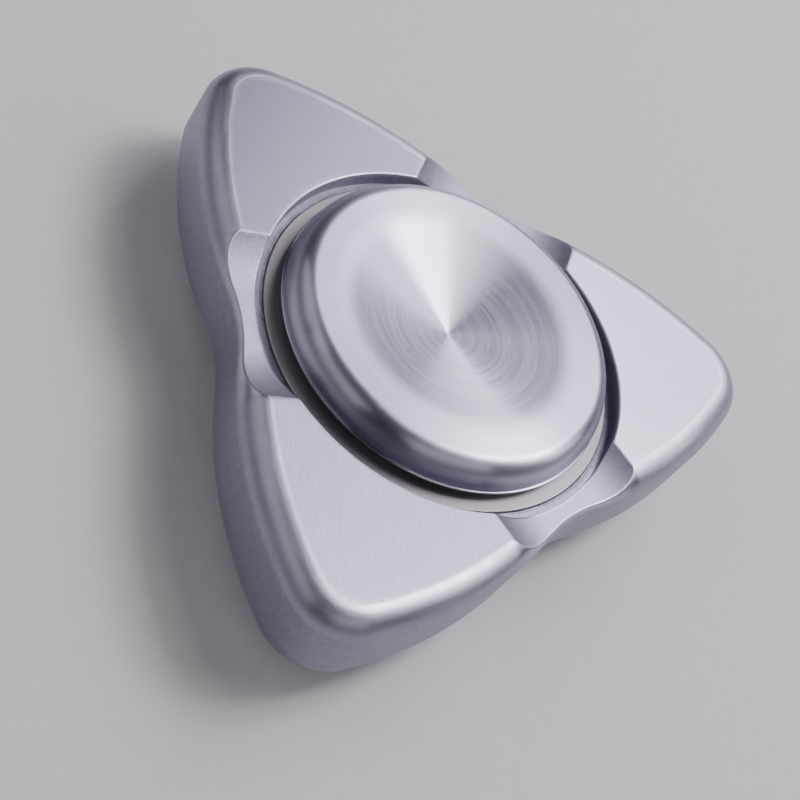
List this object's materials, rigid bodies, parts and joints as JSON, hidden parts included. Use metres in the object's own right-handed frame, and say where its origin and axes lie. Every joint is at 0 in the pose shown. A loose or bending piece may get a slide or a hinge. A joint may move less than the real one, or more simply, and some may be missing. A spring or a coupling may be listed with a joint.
{
  "type": "fidget spinner",
  "caption": "Three-lobed brushed steel fidget spinner with a dished round thumb button on each face and a small ball bearing inside.",
  "frame": {"origin": "centre of the bearing, on the spin axis, half way through the thickness", "axes": "+Z is the spin axis, out of the upper face; one lobe points along +X"},
  "size_m": [0.0422, 0.046, 0.0114],
  "materials": {
    "body_steel": "satin brushed, softly rounded edges",
    "ring_steel": "fine turned",
    "button_steel": "turned dish, polished rim",
    "stud_steel": "dark oxide",
    "bearing_steel": "ground and polished",
    "cage_brass": "stamped",
    "ball_steel": "mirror polished",
    "shield_steel": "pressed sheet",
    "clip_steel": "spring wire"
  },
  "bodies": {
    "hub": {"button_top": "button_steel", "button_bottom": "button_steel", "clamp_stud": "stud_steel", "bearing_inner_ring": "bearing_steel"},
    "rotor": {"body": "body_steel", "retaining_ring_top": "ring_steel", "retaining_ring_bottom": "ring_steel", "bearing_outer_ring": "bearing_steel", "shield_top": "shield_steel", "shield_bottom": "shield_steel", "shield_clip_top": "clip_steel", "shield_clip_bottom": "clip_steel"},
    "cage": {"ball_cage": "cage_brass"},
    "ball_1_body": {"ball_1": "ball_steel"},
    "ball_2_body": {"ball_2": "ball_steel"},
    "ball_3_body": {"ball_3": "ball_steel"},
    "ball_4_body": {"ball_4": "ball_steel"},
    "ball_5_body": {"ball_5": "ball_steel"},
    "ball_6_body": {"ball_6": "ball_steel"},
    "ball_7_body": {"ball_7": "ball_steel"},
    "ball_8_body": {"ball_8": "ball_steel"},
    "ball_9_body": {"ball_9": "ball_steel"},
    "ball_10_body": {"ball_10": "ball_steel"}
  },
  "joints": [
    {"name": "spin", "type": "hinge", "parent": "hub", "child": "rotor", "pos_m": [0, 0, 0], "axis": [0, 0, 1], "continuous": true},
    {"name": "cage_orbit", "type": "hinge", "parent": "hub", "child": "cage", "pos_m": [0, 0, 0], "axis": [0, 0, 1], "continuous": true},
    {"name": "ball_1_roll", "type": "hinge", "parent": "cage", "child": "ball_1_body", "pos_m": [0.00476, 0, 0], "axis": [0, 0, 1], "continuous": true},
    {"name": "ball_2_roll", "type": "hinge", "parent": "cage", "child": "ball_2_body", "pos_m": [0.00385, 0.0028, 0], "axis": [0, 0, 1], "continuous": true},
    {"name": "ball_3_roll", "type": "hinge", "parent": "cage", "child": "ball_3_body", "pos_m": [0.00147, 0.00453, 0], "axis": [0, 0, 1], "continuous": true},
    {"name": "ball_4_roll", "type": "hinge", "parent": "cage", "child": "ball_4_body", "pos_m": [-0.00147, 0.00453, 0], "axis": [0, 0, 1], "continuous": true},
    {"name": "ball_5_roll", "type": "hinge", "parent": "cage", "child": "ball_5_body", "pos_m": [-0.00385, 0.0028, 0], "axis": [0, 0, 1], "continuous": true},
    {"name": "ball_6_roll", "type": "hinge", "parent": "cage", "child": "ball_6_body", "pos_m": [-0.00476, 0, 0], "axis": [0, 0, 1], "continuous": true},
    {"name": "ball_7_roll", "type": "hinge", "parent": "cage", "child": "ball_7_body", "pos_m": [-0.00385, -0.0028, 0], "axis": [0, 0, 1], "continuous": true},
    {"name": "ball_8_roll", "type": "hinge", "parent": "cage", "child": "ball_8_body", "pos_m": [-0.00147, -0.00453, 0], "axis": [0, 0, 1], "continuous": true},
    {"name": "ball_9_roll", "type": "hinge", "parent": "cage", "child": "ball_9_body", "pos_m": [0.00147, -0.00453, 0], "axis": [0, 0, 1], "continuous": true},
    {"name": "ball_10_roll", "type": "hinge", "parent": "cage", "child": "ball_10_body", "pos_m": [0.00385, -0.0028, 0], "axis": [0, 0, 1], "continuous": true}
  ],
  "couplings": [
    {"joint": "cage_orbit", "follows": "spin", "ratio": 0.58336},
    {"joint": "ball_1_roll", "follows": "spin", "ratio": 2.9157},
    {"joint": "ball_2_roll", "follows": "spin", "ratio": 2.9157},
    {"joint": "ball_3_roll", "follows": "spin", "ratio": 2.9157},
    {"joint": "ball_4_roll", "follows": "spin", "ratio": 2.9157},
    {"joint": "ball_5_roll", "follows": "spin", "ratio": 2.9157},
    {"joint": "ball_6_roll", "follows": "spin", "ratio": 2.9157},
    {"joint": "ball_7_roll", "follows": "spin", "ratio": 2.9157},
    {"joint": "ball_8_roll", "follows": "spin", "ratio": 2.9157},
    {"joint": "ball_9_roll", "follows": "spin", "ratio": 2.9157},
    {"joint": "ball_10_roll", "follows": "spin", "ratio": 2.9157}
  ]
}
